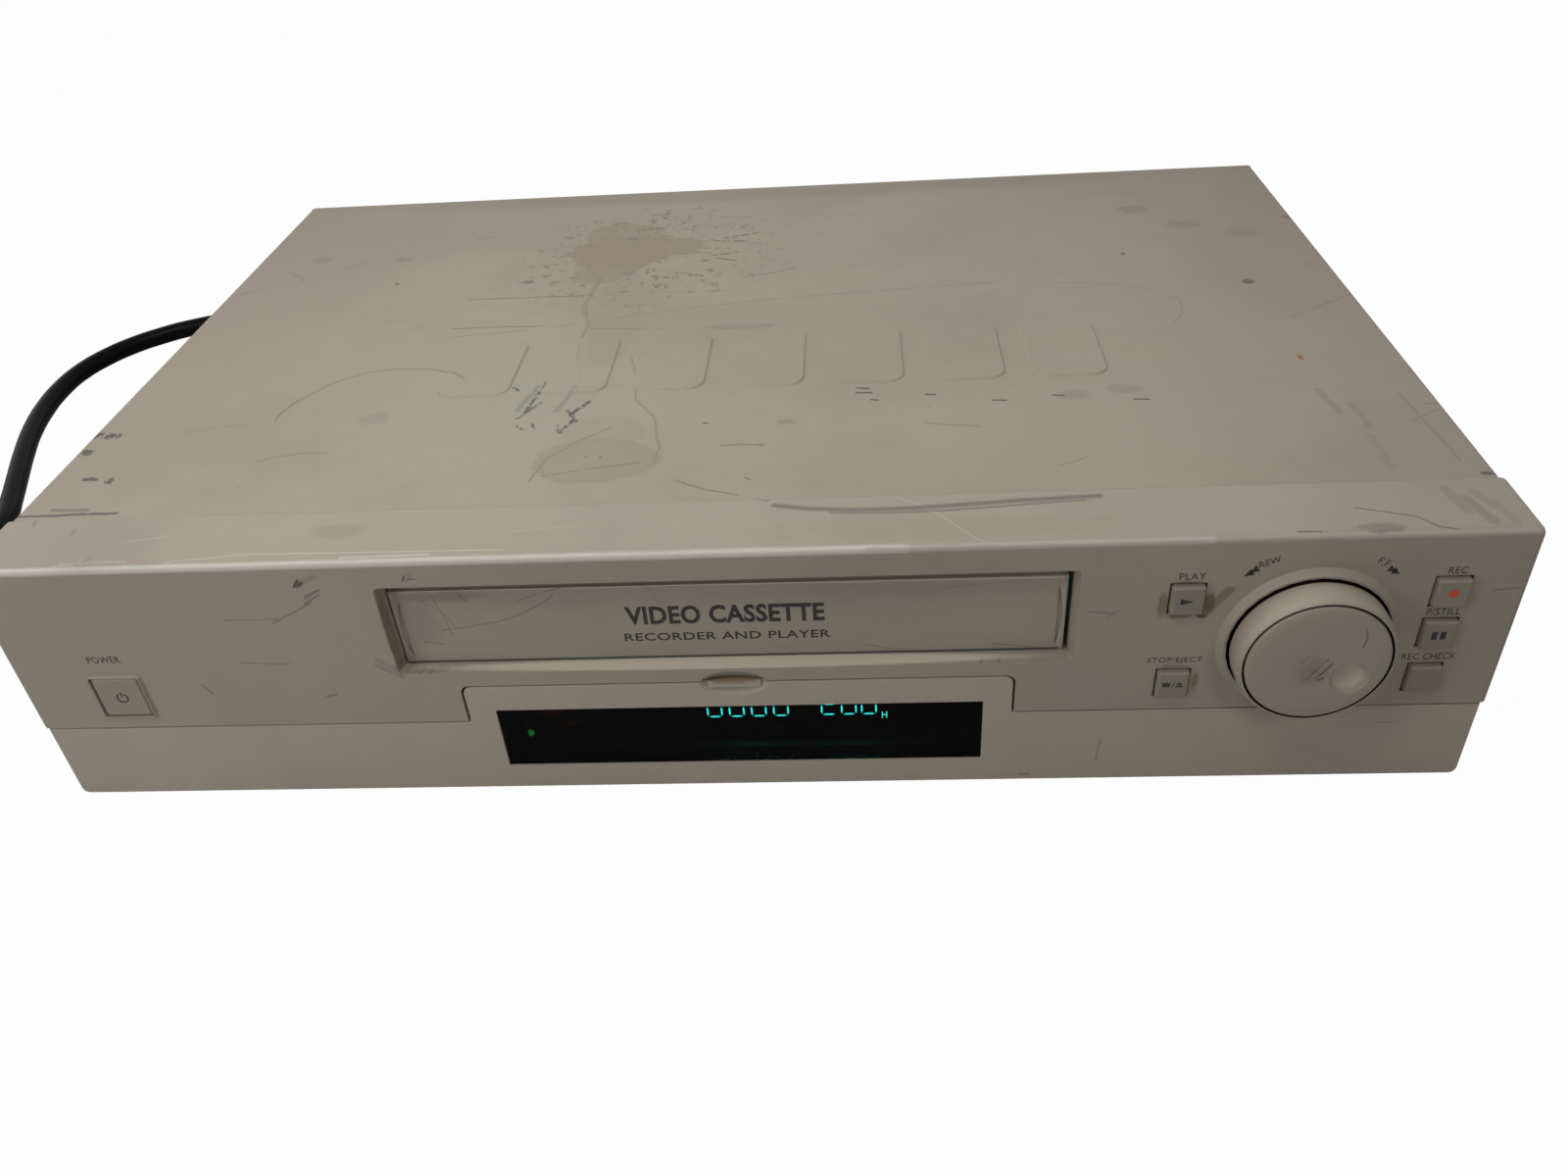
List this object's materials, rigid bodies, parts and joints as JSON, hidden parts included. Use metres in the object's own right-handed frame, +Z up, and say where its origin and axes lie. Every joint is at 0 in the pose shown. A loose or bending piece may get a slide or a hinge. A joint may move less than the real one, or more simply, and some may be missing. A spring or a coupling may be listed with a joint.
{
  "type": "video cassette recorder",
  "caption": "Full-width video cassette recorder with a flap over its cassette slot, a drop-down door with a display window, jog and shuttle knob, keys and a mains cord.",
  "frame": {"origin": "on the surface that the feet stand on, below the middle of the recorder's box without its cord", "axes": "+X to the right seen from the front, +Y to the back, +Z up; the front panel faces -Y"},
  "size_m": [0.5971, 0.437, 0.0943],
  "materials": {
    "cover_paint": "worn light warm grey paint on sheet steel",
    "case_plastic": "light warm grey moulded plastic, fine grain",
    "key_plastic": "light grey key plastic",
    "smoked_window": "smoked acrylic",
    "tube_glass": "dark display glass",
    "bare_steel": "zinc plated sheet steel",
    "drum_metal": "finely turned aluminium",
    "board": "green circuit board with its parts",
    "core": "varnished laminations and coil",
    "black_plastic": "black moulded plastic",
    "white_plastic": "natural acetal",
    "rubber": "black rubber",
    "cord_jacket": "glossy black cord jacket"
  },
  "bodies": {
    "chassis": {"front_panel": "case_plastic", "top_cover": "cover_paint", "base_pan": "bare_steel", "rear_panel": "bare_steel", "front_left_foot": "rubber", "front_right_foot": "rubber", "rear_left_foot": "rubber", "rear_right_foot": "rubber", "left_cover_screw": "bare_steel", "right_cover_screw": "bare_steel", "key_board": "board", "display_board": "board", "display_tube": "tube_glass", "video_in_socket": "bare_steel", "video_out_socket": "bare_steel", "audio_sockets": "black_plastic", "alarm_terminals": "black_plastic", "mains_inlet": "black_plastic", "main_board": "board", "power_board": "board", "transformer": "core", "deck_chassis": "bare_steel", "left_bracket": "bare_steel", "right_bracket": "bare_steel", "lower_drum": "drum_metal", "loading_motor": "bare_steel", "drive_belt": "rubber", "erase_head": "drum_metal", "audio_control_head": "drum_metal", "cord_connector": "cord_jacket", "cord_lead": "cord_jacket", "cord_coil": "cord_jacket", "cord_tie": "cord_jacket", "cord_run": "cord_jacket", "cord_plug": "cord_jacket"},
    "door": {"drop_door": "case_plastic", "door_window": "smoked_window"},
    "flap": {"cassette_flap": "case_plastic"},
    "shuttle": {"shuttle_ring": "case_plastic"},
    "jog": {"jog_dial": "case_plastic"},
    "rack": {"loading_rack": "white_plastic"},
    "basket": {"cassette_basket": "bare_steel"},
    "cam": {"cam_gear": "white_plastic"},
    "worm": {"loading_worm": "white_plastic"},
    "drum": {"upper_drum": "drum_metal"},
    "capstan_rotor": {"capstan": "drum_metal"},
    "clutch": {"clutch_pulley": "black_plastic"},
    "pinch_lever": {"pinch_arm": "bare_steel"},
    "pinch_wheel": {"pinch_roller": "rubber"},
    "supply_table": {"supply_reel": "black_plastic"},
    "take_up_table": {"take_up_reel": "black_plastic"},
    "supply_post": {"supply_guide": "drum_metal"},
    "take_up_post": {"take_up_guide": "drum_metal"},
    "tension_lever": {"tension_arm": "bare_steel"},
    "power_key": {"power_button": "key_plastic"},
    "play_key": {"play_button": "key_plastic"},
    "stop_key": {"stop_button": "key_plastic"},
    "rec_key": {"rec_button": "key_plastic"},
    "still_key": {"still_button": "key_plastic"},
    "rec_check_key": {"rec_check_button": "key_plastic"}
  },
  "joints": [
    {"name": "door_hinge", "type": "hinge", "parent": "chassis", "child": "door", "pos_m": [0, -0.1399, 0.0085], "axis": [1, 0, 0], "range_deg": [0, 90]},
    {"name": "flap_hinge", "type": "hinge", "parent": "chassis", "child": "flap", "pos_m": [0, -0.1391, 0.0832], "axis": [1, 0, 0], "range_deg": [0, 90], "stiffness_Nm_per_rad": 0.004, "springref_deg": -28.65},
    {"name": "shuttle_turn", "type": "hinge", "parent": "chassis", "child": "shuttle", "pos_m": [0.1602, -0.1447, 0.0588], "axis": [0, 1, 0], "range_deg": [-75, 75], "stiffness_Nm_per_rad": 0.02},
    {"name": "jog_turn", "type": "hinge", "parent": "chassis", "child": "jog", "pos_m": [0.1602, -0.1447, 0.0588], "axis": [0, 1, 0], "continuous": true},
    {"name": "basket_in", "type": "slide", "parent": "chassis", "child": "rack", "axis": [0, 1, 0], "range_m": [0, 0.025]},
    {"name": "basket_down", "type": "slide", "parent": "rack", "child": "basket", "axis": [0, 0, -1], "range_m": [0, 0.025]},
    {"name": "cam_turn", "type": "hinge", "parent": "chassis", "child": "cam", "pos_m": [0.082, 0.0353, 0.0333], "axis": [0, 0, 1], "range_deg": [0, 72]},
    {"name": "worm_turn", "type": "hinge", "parent": "chassis", "child": "worm", "pos_m": [0.07, 0.06135, 0.0358], "axis": [1, 0, 0], "range_deg": [0, 2300]},
    {"name": "drum_spin", "type": "hinge", "parent": "chassis", "child": "drum", "pos_m": [-0.008, 0.0273, 0.0383], "axis": [0, -0.1045, 0.9945], "continuous": true},
    {"name": "capstan_spin", "type": "hinge", "parent": "chassis", "child": "capstan_rotor", "pos_m": [0.06, -0.0057, 0.0127], "axis": [0, 0, 1], "continuous": true},
    {"name": "clutch_spin", "type": "hinge", "parent": "chassis", "child": "clutch", "pos_m": [0.006, -0.0487, 0.0181], "axis": [0, 0, 1], "continuous": true},
    {"name": "pinch_swing", "type": "hinge", "parent": "chassis", "child": "pinch_lever", "pos_m": [0.084, 0.0053, 0.0303], "axis": [0, 0, 1], "range_deg": [0, 25], "stiffness_Nm_per_rad": 0.01},
    {"name": "pinch_spin", "type": "hinge", "parent": "pinch_lever", "child": "pinch_wheel", "pos_m": [0.06522, 0.00877, 0.0353], "axis": [0, 0, 1], "continuous": true},
    {"name": "supply_spin", "type": "hinge", "parent": "chassis", "child": "supply_table", "pos_m": [-0.045, -0.0667, 0.027], "axis": [0, 0, 1], "continuous": true},
    {"name": "take_up_spin", "type": "hinge", "parent": "chassis", "child": "take_up_table", "pos_m": [0.045, -0.0667, 0.027], "axis": [0, 0, 1], "continuous": true},
    {"name": "supply_guide_slide", "type": "slide", "parent": "chassis", "child": "supply_post", "axis": [-0.5433, 0.8396, 0], "range_m": [0, 0.04]},
    {"name": "take_up_guide_slide", "type": "slide", "parent": "chassis", "child": "take_up_post", "axis": [0.5433, 0.8396, 0], "range_m": [0, 0.04]},
    {"name": "tension_swing", "type": "hinge", "parent": "chassis", "child": "tension_lever", "pos_m": [-0.082, 0.0013, 0.0287], "axis": [0, 0, 1], "range_deg": [0, 18], "stiffness_Nm_per_rad": 0.01},
    {"name": "power_press", "type": "slide", "parent": "chassis", "child": "power_key", "axis": [0, 1, 0], "range_m": [0, 0.0008], "stiffness_N_per_m": 1200, "springref_m": -0.0002},
    {"name": "play_press", "type": "slide", "parent": "chassis", "child": "play_key", "axis": [0, 1, 0], "range_m": [0, 0.0008], "stiffness_N_per_m": 1200, "springref_m": -0.0002},
    {"name": "stop_press", "type": "slide", "parent": "chassis", "child": "stop_key", "axis": [0, 1, 0], "range_m": [0, 0.0008], "stiffness_N_per_m": 1200, "springref_m": -0.0002},
    {"name": "rec_press", "type": "slide", "parent": "chassis", "child": "rec_key", "axis": [0, 1, 0], "range_m": [0, 0.0008], "stiffness_N_per_m": 1200, "springref_m": -0.0002},
    {"name": "still_press", "type": "slide", "parent": "chassis", "child": "still_key", "axis": [0, 1, 0], "range_m": [0, 0.0008], "stiffness_N_per_m": 1200, "springref_m": -0.0002},
    {"name": "rec_check_press", "type": "slide", "parent": "chassis", "child": "rec_check_key", "axis": [0, 1, 0], "range_m": [0, 0.0008], "stiffness_N_per_m": 1200, "springref_m": -0.0002}
  ],
  "couplings": [
    {"joint": "cam_turn", "follows": "basket_in", "rad_per_m": 50},
    {"joint": "worm_turn", "follows": "basket_in", "rad_per_m": 1600},
    {"joint": "clutch_spin", "follows": "capstan_spin", "ratio": 0.64286},
    {"joint": "take_up_guide_slide", "follows": "supply_guide_slide", "ratio": 1}
  ]
}
